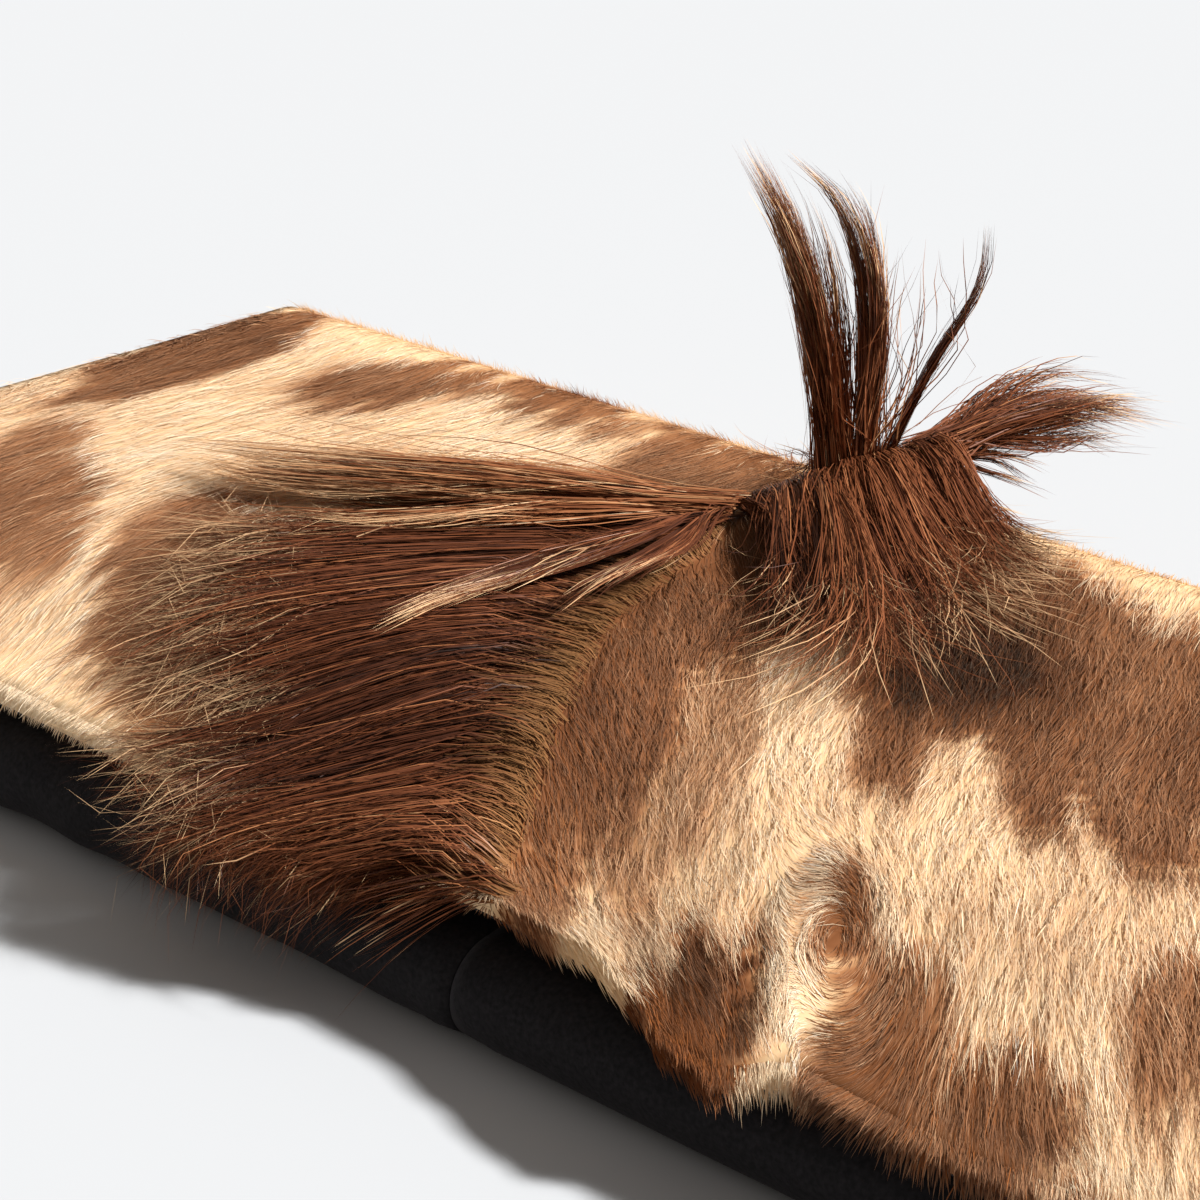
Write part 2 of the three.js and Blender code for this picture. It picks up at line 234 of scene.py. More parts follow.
# Where the mane grows, in plan, from the near edge to the far fold
MANE_POINTS = np.array(
    [
        (51, -102),
        (37, -76),
        (20, -47),
        (1, -15),
        (-11, 19),
        (-15, 42),
        (-16, 54),
        (-8, 67),
        (2, 80),
        (12, 96),
    ],
    float,
)


SPLINE_STEPS = 40  # between two points


def spline(points, count):
    """A curve through the points, as evenly spaced steps."""
    padded = np.vstack([2 * points[0] - points[1], points, 2 * points[-1] - points[-2]])
    found = []
    for a, b, c, d in zip(padded, padded[1:], padded[2:], padded[3:]):
        t = np.linspace(0, 1, SPLINE_STEPS, endpoint=False)[:, None]
        curve = 2 * b + (c - a) * t + (2 * a - 5 * b + 4 * c - d) * t**2 + (3 * b - a - 3 * c + d) * t**3
        found.append(curve / 2)
    fine = np.vstack([*found, points[-1:]])
    run = np.concatenate([[0], np.cumsum(np.linalg.norm(np.diff(fine, axis=0), axis=1))])
    even = np.linspace(0, run[-1], count)
    return np.stack([np.interp(even, run, fine[:, k]) for k in range(points.shape[1])], -1)


MANE_CURVE = spline(MANE_POINTS, 400)


def mane_at(t):
    steps = np.linspace(0, 1, len(MANE_CURVE))
    return np.stack([np.interp(t, steps, MANE_CURVE[:, k]) for k in range(2)], -1)


def mane_forward(t):
    return unit(mane_at(t + 0.01) - mane_at(t - 0.01))


def mane_x(y):
    return np.interp(y, MANE_CURVE[:, 1], MANE_CURVE[:, 0])


# The way the short hair lies, in x and q
WHORL = {"x": 119, "y": -80, "across": 8, "deep": 19, "turn": 43}
LOBE = {"x": 86, "y": -108, "long": 28, "wide": 20, "lean": 0.9}
RIGHT_LEAN = 0.68  # sideways for each step towards the near edge
LEFT_LEAN = 0.3
PARTING_HALF = 4
SPIRAL_IN = 0.3


def whorl_place(x, q):
    """Place in the whorl's turned ellipse, and the distance from its middle, 1 at its rim."""
    angle = np.radians(WHORL["turn"])
    dx, dy = x - WHORL["x"], q - WHORL["y"]
    u = (dx * np.cos(angle) + dy * np.sin(angle)) / WHORL["across"]
    w = (dy * np.cos(angle) - dx * np.sin(angle)) / WHORL["deep"]
    return u, w, np.maximum(np.hypot(u, w), 1e-3)


def right_of_mane(x, q):
    return smooth((x - mane_x(q) + PARTING_HALF) / (2 * PARTING_HALF))


def flow(x, q):
    """The way the hair lies: away from the parting, down to the near edge, round the whorl."""
    side = x - mane_x(q)
    to_right = RIGHT_LEAN + 0.95 * np.exp(-np.maximum(side, 0) / 17)
    near_left = np.exp(-np.maximum(-side, 0) / 70)
    to_left = LEFT_LEAN - 0.62 * near_left - 0.9 * np.exp(-np.maximum(-side, 0) / 14)
    right = right_of_mane(x, q)
    fx = mix(to_left, to_right, right) + 0.4 * (noise(x, q, 46, 3) - 0.5) + 0.25 * (noise(x, q, 15, 4) - 0.5)
    fq = -1 + 0.25 * (noise(x, q, 38, 5) - 0.5)
    from_lobe = ((x - LOBE["x"]) / LOBE["long"]) ** 2 + ((q - LOBE["y"]) / LOBE["wide"]) ** 2
    fx = fx + LOBE["lean"] * np.exp(-from_lobe)
    u, w, radius = whorl_place(x, q)
    weight = np.exp(-((radius * mix(0.55, 1.05, smooth(-u / radius))) ** 2) * 0.55)
    du = (w - SPIRAL_IN * u) / radius * WHORL["across"]
    dw = (-u - SPIRAL_IN * w) / radius * WHORL["deep"]
    size = np.hypot(du, dw)
    angle = np.radians(WHORL["turn"])
    wx = (du * np.cos(angle) - dw * np.sin(angle)) / size
    wq = (du * np.sin(angle) + dw * np.cos(angle)) / size
    fx, fq = mix(fx, wx, weight), mix(fq, wq, weight)
    size = np.maximum(np.hypot(fx, fq), 1e-6)
    return fx / size, fq / size


def streaks(x, q, wide, long, seed):
    """Noise drawn out along the hair, from 0 to 1."""
    lean = mix(0.05, 0.66, right_of_mane(x, q))
    return noise((x + lean * q) / wide, q / long, 1, seed)


# The brown spots: middle, half sizes, turn in degrees and place on the coat's scale of colours
SPOTS = rows(
    "x y long wide turn tone",
    (-214, 55, 44, 19, 98, 0.33),  # far left corner
    (-155, 75, 29, 17, 61, 0.35),  # along the far edge
    (-112, 92, 32, 12, 177, 0.42),
    (-72, 96, 14, 8, 170, 0.44),
    (-160, -45, 46, 17, 139, 0.43),  # left end
    (-190, -10, 16, 9, 120, 0.45),
    (-212, 2, 9, 4, 30, 0.55),
    (-82, -60, 64, 20, 138, 0.4),  # under the mane
    (-44, -54, 60, 30, 138, 0.36),
    (-20, -70, 36, 20, 150, 0.34),
    (-49, 82, 26, 15, 15, 0.37),  # left of the crest
    (-89, 51, 11, 4, 42, 0.45),
    (-70, 62, 12, 4, 42, 0.42),
    (66, 34, 44, 26, 130, 0.25),  # the large one on the right
    # Its near-black middle is dark fur and partly painted shadow under the crest's tips
    (64, 32, 26, 16, 130, 0.04),
    (104, 37, 58, 27, 125, 0.35),
    (80, -13, 21, 8, 127, 0.31),
    (118, -8, 22, 12, 130, 0.32),
    (142, -9, 21, 11, 119, 0.36),
    (57, 75, 22, 14, 155, 0.31),
    (150, 30, 34, 28, 120, 0.37),
    (106, -104, 22, 10, 135, 0.27),  # near lobe
    (113, -73, 17, 6.5, 128, 0.33),  # whorl
    (139, -90, 23, 12, 126, 0.32),
    (147, -111, 16, 9, 125, 0.33),
    (170, -97, 19, 11, 122, 0.33),
    (179, -115, 24, 11, 5, 0.33),
    (181, -63, 27, 11, 122, 0.42),
    (42, -38, 56, 19, 122, 0.56),  # beside the mane, fading to the right; its dark core is brown fur and partly painted shade beside the raised mane
    (31, -40, 47, 10, 122, 0.27),
    (21, -47, 62, 13, 121, 0.25),
    (53, -88, 24, 9, 122, 0.4),
    (24, -104, 34, 7, 178, 0.3),
    (10, 20, 32, 16, 115, 0.26),
    (-7, 18, 20, 9, 110, 0.25),
    (-3, 42, 19, 13, 105, 0.28),
    (-20, 128, 30, 8, 0, 0.4),  # over the far fold
    (110, 126, 40, 8, 4, 0.4),
    (-170, 127, 34, 7, -4, 0.42),
    (207, 60, 20, 30, 20, 0.34),  # right end
    (216, -20, 15, 24, 10, 0.34),
)
PALE_SPOTS = rows(
    "x y long wide turn",
    (96, -22, 10, 2.2, 127),  # bays in the large spot
    (129, -16, 20, 2.4, 128),
    (88, 80, 12, 3, 170),
    (119, -95, 20, 3.6, 121),  # strip beside the crease
)
# A painted shadow along the crease: where it lies, its half sizes and its turn
CREASE_SHADOW_LINE = rows("x y long wide turn", (108, -92, 14, 2.6, 120))
RUST = rows(
    "x y long wide turn strength",
    (107, -114, 24, 11, 158, 0.95),  # rim of the near lobe
    (30, -60, 50, 9, 122, 0.25),  # beside the mane
    (150, -100, 40, 14, 150, 0.2),
    (106, -66, 18, 9, 131, 0.55),  # over the whorl
)
RAGGED = 15  # how far the edge of a spot runs up and down along the hair
CREAM = 0.8  # the ground colour's place on the coat's scale
PALE = 0.76
# tone of the painted shadow in the crease
CREASE_SHADOW_TONE = 0.06
SPOT_EDGE = 8  # over how far a spot fades


def hair_tone(x, q):
    """Place on the coat's scale of colours, from 0, near black, to 1, palest."""
    fx, fq = flow(x, q)
    pull = RAGGED * (streaks(x, q, 3.4, 30, 11) + 0.6 * streaks(x, q, 1.6, 20, 12) - 0.8)
    wx, wq = x - fx * pull, q - fq * pull
    wide = (noise(x, q, 15, 13) - 0.5) * 0.55 + (noise(x, q, 6, 14) - 0.5) * 0.25
    tone = CREAM + 0.14 * (noise(x, q, 30, 21) - 0.5) + 0.12 * (streaks(x, q, 1.5, 15, 22) - 0.5)
    mottle = 0.12 * (noise(x, q, 20, 23) - 0.5) + 0.12 * (streaks(x, q, 1.5, 11, 24) - 0.5)
    for k, brown in enumerate(SPOTS["tone"]):
        size = np.sqrt(SPOTS["long"][k] * SPOTS["wide"][k])
        inside = 1 - ellipse_distance(SPOTS, k, wx, wq) + wide * np.minimum(1, 14 / size)
        cover = smooth(inside * size / SPOT_EDGE + 0.5)
        tone = np.minimum(tone, mix(tone, brown + mottle, cover))
    for k in range(len(PALE_SPOTS["x"])):
        inside = 1 - ellipse_distance(PALE_SPOTS, k, wx, wq) + wide * 0.6
        tone = mix(tone, PALE, 0.85 * smooth(inside * 1.4 + 0.4))
    # Painted shadow: the hair darkens along the crease line
    crease_shadow = np.exp(-ellipse_distance(CREASE_SHADOW_LINE, 0, x, q) ** 4)
    return mix(tone, CREASE_SHADOW_TONE, 0.85 * crease_shadow)


def rustiness(x, q):
    """How rust-coloured the brown hair is, from 0 to 1."""
    found = 0
    for k, strength in enumerate(RUST["strength"]):
        found = np.maximum(found, strength * (1 - smooth(ellipse_distance(RUST, k, x, q) - 0.5)))
    return found


# Meshes from arrays
def mesh_piece(name, points, corners, sizes, uvs=None, smooth_faces=True):
    made = bpy.data.meshes.new(name)
    made.vertices.add(len(points))
    made.vertices.foreach_set("co", (np.asarray(points, np.float32) * np.float32(MM)).ravel())
    made.loops.add(len(corners))
    made.loops.foreach_set("vertex_index", np.asarray(corners, np.int32))
    made.polygons.add(len(sizes))
    starts = np.concatenate([[0], np.cumsum(sizes)[:-1]]).astype(np.int32)
    made.polygons.foreach_set("loop_start", starts)
    made.polygons.foreach_set("use_smooth", np.full(len(sizes), smooth_faces))
    if uvs is not None:
        layer = made.uv_layers.new(name="OFBake")
        layer.uv.foreach_set("vector", np.asarray(uvs, np.float32).ravel())
    made.update(calc_edges=True)
    made.validate()
    piece = bpy.data.objects.new(name, made)
    bpy.context.scene.collection.objects.link(piece)
    return piece


def ribbon_arrays(points, sides, tone, ends=1.0, steps_at=None):
    """Flat hairs through points[hair, step], half a width to each side, closing to a tip."""
    count, steps = points.shape[:2]
    edges = np.stack([points[:, :-1] - sides[:, :-1], points[:, :-1] + sides[:, :-1]], 2)
    vertices = np.concatenate([edges.reshape(count, -1, 3), points[:, -1:]], 1)
    each = 2 * steps - 1
    quads = [[2 * i, 2 * i + 1, 2 * i + 3, 2 * i + 2] for i in range(steps - 2)]
    tip = [2 * steps - 4, 2 * steps - 3, 2 * steps - 2]
    loop = np.array([*sum(quads, []), *tip])
    corners = (np.arange(count)[:, None] * each + loop).ravel()
    sizes = np.tile([4] * (steps - 2) + [3], count)
    at = np.linspace(0, 1, steps) if steps_at is None else steps_at
    run = np.append(np.repeat(at[:-1], 2), at[-1])
    lean = np.append(np.tile([-1, 1], steps - 1), 0) * 0.0012
    u = np.clip(tone, 0.005, 0.995)[:, None] + lean[loop]
    v = 0.02 + 0.96 * run[loop] * np.broadcast_to(ends, count)[:, None]
    return vertices.reshape(-1, 3), corners, sizes, np.stack([u, v], -1).reshape(-1, 2)


def hair_piece(name, groups, material):
    """One mesh of several groups of hairs."""
    vertices, corners, sizes, uvs = zip(*groups)
    starts = np.cumsum([0, *(len(v) for v in vertices[:-1])])
    corners = np.concatenate([c + start for c, start in zip(corners, starts)])
    piece = mesh_piece(name, np.concatenate(vertices), corners, np.concatenate(sizes), np.concatenate(uvs))
    piece.data.materials.append(material)
    return piece


def grid_sheet(name, lower, upper, material):
    """A closed thin sheet between two grids of points."""
    nx, nq = upper.shape[:2]
    index = np.arange(nx * nq).reshape(nx, nq)
    a, b, c, d = index[:-1, :-1], index[1:, :-1], index[1:, 1:], index[:-1, 1:]
    top = np.stack([a, b, c, d], -1).reshape(-1, 4)
    low = np.stack([d, c, b, a], -1).reshape(-1, 4) + nx * nq
    rim = np.concatenate([index[:-1, 0], index[-1, :-1], index[:0:-1, -1], index[0, :0:-1]])
    after = np.roll(rim, -1)
    band = np.stack([after, rim, rim + nx * nq, after + nx * nq], -1)
    faces = np.concatenate([top, low, band])
    points = np.concatenate([upper.reshape(-1, 3), lower.reshape(-1, 3)])
    piece = mesh_piece(name, points, faces.ravel(), np.full(len(faces), 4))
    piece.data.materials.append(material)
    return piece


# Materials
def linear(*rgb):
    c = np.array(rgb) / 255
    return (*np.where(c <= 0.04045, c / 12.92, ((c + 0.055) / 1.055) ** 2.4), 1.0)


def grey(v):
    return (v, v, v, 1)


def shader(name, roughness, specular=0.3, sheen=0.0):
    made = bpy.data.materials.new(name)
    made.use_nodes = True
    nodes = made.node_tree.nodes
    base = nodes["Principled BSDF"]
    base.inputs["Roughness"].default_value = roughness
    base.inputs["Specular IOR Level"].default_value = specular
    base.inputs["Sheen Weight"].default_value = sheen
    return made, nodes, made.node_tree.links, base


def ramp_node(nodes, stops):
    ramp = nodes.new("ShaderNodeValToRGB")
    ramp.color_ramp.elements[0].position, ramp.color_ramp.elements[0].color = stops[0]
    ramp.color_ramp.elements[1].position, ramp.color_ramp.elements[1].color = stops[-1]
    for position, colour in stops[1:-1]:
        ramp.color_ramp.elements.new(position).color = colour
    return ramp


def hair_shader(name, tones, root_colour, rootward, tip_colour, tipward, roughness):
    """Colour from the hair's tone, turning to other colours towards its root and its tip."""
    made, nodes, links, base = shader(name, roughness, 0.2)
    place = nodes.new("ShaderNodeUVMap")
    place.uv_map = "OFBake"
    split = nodes.new("ShaderNodeSeparateXYZ")
    links.new(place.outputs["UV"], split.inputs["Vector"])
    colour = ramp_node(nodes, tones)
    links.new(split.outputs["X"], colour.inputs["Fac"])
    latest = colour.outputs["Color"]
    for end_colour, stops in ((root_colour, rootward), (tip_colour, tipward)):
        share = ramp_node(nodes, [(place_at, grey(v)) for place_at, v in stops])
        links.new(split.outputs["Y"], share.inputs["Fac"])
        blend = nodes.new("ShaderNodeMix")
        blend.data_type = "RGBA"
        blend.inputs["B"].default_value = end_colour
        links.new(share.outputs["Color"], blend.inputs["Factor"])
        links.new(latest, blend.inputs["A"])
        latest = blend.outputs["Result"]
    links.new(latest, base.inputs["Base Color"])
    return made


COAT = [
    (0.0, linear(40, 22, 13)),
    (0.12, linear(84, 50, 31)),
    (0.24, linear(136, 90, 60)),
    (0.36, linear(176, 127, 91)),
    (0.48, linear(214, 173, 134)),
    (0.64, linear(252, 228, 192)),
    (0.8, linear(255, 246, 230)),
    (0.86, linear(92, 44, 18)),
    (1.0, linear(196, 118, 58)),
]
COAT_SCALE = 0.8  # the coat's own colours end here, and rust begins
RUST_FROM = 0.87
# Towards its roots the fur turns tan: painted warm shade deep in the coat
fur_hair = hair_shader(
    "fur",
    COAT,
    linear(150, 102, 66),
    [(0.0, 0.5), (0.7, 0)],
    linear(255, 236, 208),
    [(0.6, 0), (1.0, 0.1)],
    0.55,
)
MANE = [
    (0.0, linear(34, 16, 9)),
    (0.25, linear(78, 41, 25)),
    (0.5, linear(128, 74, 46)),
    (0.7, linear(172, 113, 74)),
    (0.85, linear(216, 168, 120)),
    (1.0, linear(252, 228, 194)),
]
PALE_TIP = linear(255, 214, 164)
FALL_PLAIN, CREST_PLAIN = 0.74, 0.64  # where hair without a pale tip stops on the way to that tip
FALL_ROOT = [(0.0, 0.85), (0.07, 0.6), (0.16, 0)]
CREST_ROOT = [(0.0, 0.2), (0.16, 0)]
FALL_BLEACH = [(FALL_PLAIN, 0), (0.88, 0.5), (1.0, 0.95)]
CREST_BLEACH = [(CREST_PLAIN, 0), (0.84, 0.5), (1.0, 0.95)]
fall_hair = hair_shader("mane_fall", MANE, linear(156, 112, 70), FALL_ROOT, PALE_TIP, FALL_BLEACH, 0.42)
crest_hair = hair_shader("mane_crest", MANE, linear(46, 22, 13), CREST_ROOT, PALE_TIP, CREST_BLEACH, 0.42)


SKIN_SHADE_TINT = (0.9, 0.8, 0.68)  # darker and warmer than its hair: painted shade between the hairs


def skin_shader():
    made, nodes, links, base = shader("skin", 0.8, 0.1)
    tone = nodes.new("ShaderNodeAttribute")
    tone.attribute_name = "tone"
    # The skin takes the coat's colours, darkened and warmed as painted shade between the hairs
    shaded_coat = [(at, (*(tint * c for tint, c in zip(SKIN_SHADE_TINT, colour)), 1)) for at, colour in COAT]
    colour = ramp_node(nodes, shaded_coat)
    links.new(tone.outputs["Fac"], colour.inputs["Fac"])
    links.new(colour.outputs["Color"], base.inputs["Base Color"])
    return made


def lining_shader():
    made, nodes, links, base = shader("lining", 0.85, 0.16, 0.12)
    base.inputs["Sheen Roughness"].default_value = 0.45
    base.inputs["Sheen Tint"].default_value = (0.4, 0.38, 0.4, 1)
    place = nodes.new("ShaderNodeTexCoord")
    nap = nodes.new("ShaderNodeTexNoise")
    nap.inputs["Scale"].default_value = 900
    nap.inputs["Detail"].default_value = 3
    links.new(place.outputs["Object"], nap.inputs["Vector"])
    colour = ramp_node(nodes, [(0.3, linear(13, 12, 13)), (0.75, linear(34, 31, 33))])
    links.new(nap.outputs["Fac"], colour.inputs["Fac"])
    links.new(colour.outputs["Color"], base.inputs["Base Color"])
    bump = nodes.new("ShaderNodeBump")
    bump.inputs["Strength"].default_value = 0.35
    bump.inputs["Distance"].default_value = 0.0004
    links.new(nap.outputs["Fac"], bump.inputs["Height"])
    links.new(bump.outputs["Normal"], base.inputs["Normal"])
    return made


# Skin: the folded hide under its hair
def strip_x(count, low=-LENGTH / 2, high=LENGTH / 2):
    return np.linspace(low, high, count)


def sheet_grids(xs, inset, low, high, counts):
    """Lower and upper grids of a sheet from the near cut edge to the bottom layer's cut edge."""
    share = np.linspace(0, 1, counts[0])[None, :]
    edge = along(NEAR_EDGE, "y", xs)[:, None] + inset
    runs = [mix(edge, Q_FAR, share)]
    stops = [Q_FAR, Q_MIDDLE, Q_NEAR, Q_BOTTOM, Q_END - inset]
    for start, stop, count in zip(stops, stops[1:], counts[1:]):
        runs.append(np.broadcast_to(np.linspace(start, stop, count + 1)[1:], (len(xs), count)))
    q = np.concatenate(runs, 1)
    x = np.broadcast_to(xs[:, None], q.shape)
    return folded(x, q, low), folded(x, q, high), x, q


SKIN_ACROSS = 104
SKIN_STEPS = (54, 12, 12, 10, 10)  # on the top layer, far fold, middle layer, near fold and bottom layer
CLOTH_STEPS = (14, 6, 8, 32, 8)
SKIN_TOP = HALF_GAP + SKIN_THICK
low, high, grid_x, grid_q = sheet_grids(strip_x(SKIN_ACROSS), SKIN_INSET, HALF_GAP, SKIN_TOP, SKIN_STEPS)
hide = grid_sheet("hide_skin", low, high, skin_shader())
tones = hide.data.attributes.new("tone", "FLOAT", "POINT")
skin_tone = COAT_SCALE * np.clip(hair_tone(grid_x, grid_q), 0, 1)
tones.data.foreach_set("value", np.tile(skin_tone.ravel(), 2).astype(np.float32))

# Lining: two panels that roll in at the seam, with soft wrinkles
lining_cloth = lining_shader()
SEAM_ROLL = 0.8  # how far from the seam the cloth dips
SEAM_DEEP = 0.2
SEAM_HALF = 0.2
CLOTH_SHARE = 0.8  # the cloth's share of the solid lining's thickness


def wrinkles(x, q):
    """How far the lining stands out of its plain fold, on the near fold only."""
    outside = np.exp(-(((q - (Q_NEAR + Q_BOTTOM) / 2) / 16) ** 2))
    slant = np.sin((x + 0.9 * (q - Q_NEAR)) / 4.6) * np.exp(-(((x + 95) / 45) ** 2))
    pucker = np.sin(x / 2.3 + 3 * noise(x, q, 9, 31)) * np.exp(-((np.abs(x - SEAM_X) / 12) ** 2))
    loose = noise(x, q, 34, 32) + 0.5 * noise(x, q, 13, 33) - 0.75
    ridge = np.exp(-(((q - Q_NEAR - 11) / 4) ** 2)) * smooth((x - 60) / 40)
    return outside * (0.55 * slant + 0.3 * pucker + 0.9 * loose + 0.5 * ridge)


def lining_panel(name, xs):
    _, _, x, q = sheet_grids(xs, CLOTH_INSET, 0, 0, CLOTH_STEPS)
    dip = SEAM_DEEP * np.exp(-((np.abs(x - SEAM_X) / SEAM_ROLL) ** 2))
    bottom = smooth((q - Q_BOTTOM + 8) / 8)
    out = np.clip(wrinkles(x, q), -0.6, 0.9) * (1 - bottom) - dip * (1 - bottom)
    thick = LINING_THICK * CLOTH_SHARE
    outer = -HALF_GAP - LINING_THICK - out
    outer = np.where(bottom > 0.999, -HALF_GAP - LINING_THICK, outer)
    return grid_sheet(name, folded(x, q, outer), folded(x, q, outer + thick), lining_cloth)


lining_left = lining_panel("lining_left_cloth", strip_x(88, -LENGTH / 2, SEAM_X - SEAM_HALF))
lining_right = lining_panel("lining_right_cloth", strip_x(58, SEAM_X + SEAM_HALF, LENGTH / 2))


# Short hair
EDGE_SHORT = 0.6  # length of the hair at the near edge, as a share of its length elsewhere
EDGE_WIDE = 18
EDGE_HANG = 3  # how far a hair's tip sinks past the near edge
ROOT_DEEP = 0.4  # how far a hair starts under the skin
STEEPEST = 70
FLATTEST = 4
PALE_FLECKS = 0.03
DARK_FLECKS = 0.02


def coat_place(tone, x, q):
    """Place on the coat's ramp of colours, where some of the brown hair is rust."""
    rusty = (rng.random(len(x)) < rustiness(x, q)) & (tone < 0.55)
    rust = RUST_FROM + 0.22 * np.clip(tone - 0.12, 0, 0.5)
    return np.where(rusty, rust, COAT_SCALE * np.clip(tone, 0, 1))


def fur(x, q, length, rise, spread, width, steps, vary=0.035):
    """Hairs rooted at x and q; rise is how steeply they leave the skin, in degrees."""
    count = len(x)
    root, across, onward, out = local_axes(x, q, SKIN_TOP - ROOT_DEEP)
    turn = np.radians(rng.normal(0, spread, count) + 15 * (streaks(x, q, 2.6, 12, 42) - 0.5))

    def heading(at_x, at_q):
        fx, fq = flow(at_x, at_q)
        return fx * np.cos(turn) - fq * np.sin(turn), fx * np.sin(turn) + fq * np.cos(turn)

    fx, fq = heading(x, q)
    forward = unit(across * fx[:, None] + onward * fq[:, None])
    side = np.cross(forward, out)
    from_whorl = whorl_place(x, q)[2]
    length = length * (1 - 0.38 * np.exp(-(from_whorl**2) * 0.5))
    rise = rise * (1 - 0.4 * np.exp(-(from_whorl**2) * 0.2))
    length = length * (1 - 0.45 * smooth((q - Q_FAR + 10) / 14) * (q < Q_MIDDLE))
    from_edge = q - along(NEAR_EDGE, "y", x) - SKIN_INSET
    length = length * np.where(q < 0, mix(EDGE_SHORT, 1, smooth(from_edge / EDGE_WIDE)), 1)
    later_x, later_q = heading(x + fx * length * 0.6, q + fq * length * 0.6)
    onward_later = unit(across * later_x[:, None] + onward * later_q[:, None])
    start = np.radians(np.clip(rise + rng.normal(0, 2.5, count), FLATTEST, STEEPEST))
    end = start * rng.uniform(-0.1, 0.4, count)
    ahead = unit(onward_later + side * rng.normal(0, 0.1, count)[:, None])
    third = (length / 3)[:, None]
    points = [root]
    for way, lift in ((forward, start), (unit(forward + ahead), (start + end) / 2), (ahead, end)):
        points.append(points[-1] + third * (way * np.cos(lift)[:, None] + out * np.sin(lift)[:, None]))
    inside = points[2][:, 1] - along(NEAR_EDGE, "y", points[2][:, 0])
    hang = np.where(q < 0, smooth((4 - inside) / 12), 0)
    points[2][:, 2] -= 0.8 * hang
    points[3][:, 2] -= EDGE_HANG * hang * rng.uniform(0.3, 1.3, count)
    roll = rng.normal(0, 0.2, count)[:, None]
    flat = (side * np.cos(roll) + out * np.sin(roll)) * (width / 2)[:, None]
    astray = rng.normal(0, 2.2, count)
    tone = hair_tone(x + fx * astray, q + fq * astray) + rng.normal(0, vary, count)
    fleck = rng.random(count)
    tone = tone + np.where(fleck < PALE_FLECKS, 0.16, 0) - np.where(fleck > 1 - DARK_FLECKS, 0.1, 0)
    tone = coat_place(tone, x, q)
    if steps == 2:
        return ribbon_arrays(np.stack([root, points[3]], 1), np.stack([flat, flat * 0], 1), tone)
    return ribbon_arrays(np.stack(points, 1), np.stack([flat, flat, flat * 0.8, flat * 0], 1), tone)


def coat_roots(count, low, high):
    """Roots over the top layer and the outside of the far fold, thinner under the mane."""
    x = rng.uniform(low, high, count)
    q = mix(along(NEAR_EDGE, "y", x) + SKIN_INSET, Q_FAR + 0.86 * np.pi * FAR_ARC, rng.random(count))
    under_mane = (x < mane_x(q) - 8) & (x > mane_x(q) - 70 + 0.4 * q) & (q < 30) & (q > -95)
    keep = np.where(q > Q_FAR + 14, 0.6, 1.0) * np.where(under_mane, 0.5, 1.0)
    kept = rng.random(count) < keep
    return x[kept], q[kept]


UNDER_HAIRS = 2.86  # roots for each square millimetre
OVER_HAIRS = 0.495
COAT_CUTS = [-230, -140, -48, 48, 140, 230]
COAT_DEEP = 245
coat = []
for k, (low_x, high_x) in enumerate(zip(COAT_CUTS, COAT_CUTS[1:])):
    area = (high_x - low_x) * COAT_DEEP * DETAIL
    x, q = coat_roots(int(UNDER_HAIRS * area), low_x, high_x)
    length = rng.normal(8, 1, len(x))
    under = fur(x, q, length, rise=9, spread=5, width=rng.uniform(0.15, 0.25, len(x)), steps=2)
    x, q = coat_roots(int(OVER_HAIRS * area), low_x, high_x)
    length = rng.normal(12.5, 2, len(x))
    over = fur(x, q, length, rise=11, spread=5, width=rng.uniform(0.11, 0.19, len(x)), steps=4)
    coat.append(hair_piece(f"fur_{k + 1}", [under, over], fur_hair))


def rim_roots(count):
    """Roots along the ends of the layers and the far edge of the bottom layer."""
    third = count // 3
    q_all = rng.uniform(-100, Q_END - 3, third * 2)
    side = np.where(rng.random(third * 2) < 0.5, -1, 1)
    x_all = side * (LENGTH / 2 - rng.uniform(0.2, 9, third * 2))
    x_far = rng.uniform(-LENGTH / 2, LENGTH / 2, third)
    inner = rng.random(third) < 0.5
    q_far = np.where(inner, Q_END - rng.uniform(0, 14, third), Q_MIDDLE + rng.uniform(-8, 12, third))
    x, q = np.concatenate([x_all, x_far]), np.concatenate([q_all, q_far])
    outside_near = (q > Q_NEAR - 12) & (q < Q_BOTTOM + 12)
    return x[~outside_near], q[~outside_near]


RIM_HAIRS = 6500
WHORL_HAIRS = 9000
WHORL_HALF = 24
EDGE_ROOTS = 14000
EDGE_BAND = 13
FRINGE_HAIRS = 9500
x, q = rim_roots(int(RIM_HAIRS * DETAIL))
length = rng.normal(6, 1, len(x))
rims = fur(x, q, length, rise=30, spread=20, width=rng.uniform(0.22, 0.36, len(x)), steps=4)
coat.append(hair_piece("fur_rims", [rims], fur_hair))

x = rng.uniform(WHORL["x"] - WHORL_HALF, WHORL["x"] + WHORL_HALF, int(WHORL_HAIRS * DETAIL))
q = rng.uniform(WHORL["y"] - WHORL_HALF, WHORL["y"] + WHORL_HALF, len(x))
close = whorl_place(x, q)[2] < 1.7
x, q = x[close], q[close]
length = rng.normal(8.5, 1, len(x))
whorl = fur(x, q, length, rise=14, spread=5, width=rng.uniform(0.12, 0.2, len(x)), steps=4, vary=0.09)


FRINGE_STEPS = np.array([0.4, 0.7, 1])  # no painted shade at the roots where the fringe leaves the coat
FRINGE_LEFT = 2.2  # length left of the mane
FRINGE_RIGHT = 5.4
COVERED_FROM = -52  # where the mane covers the near edge
COVERED_TO = 34


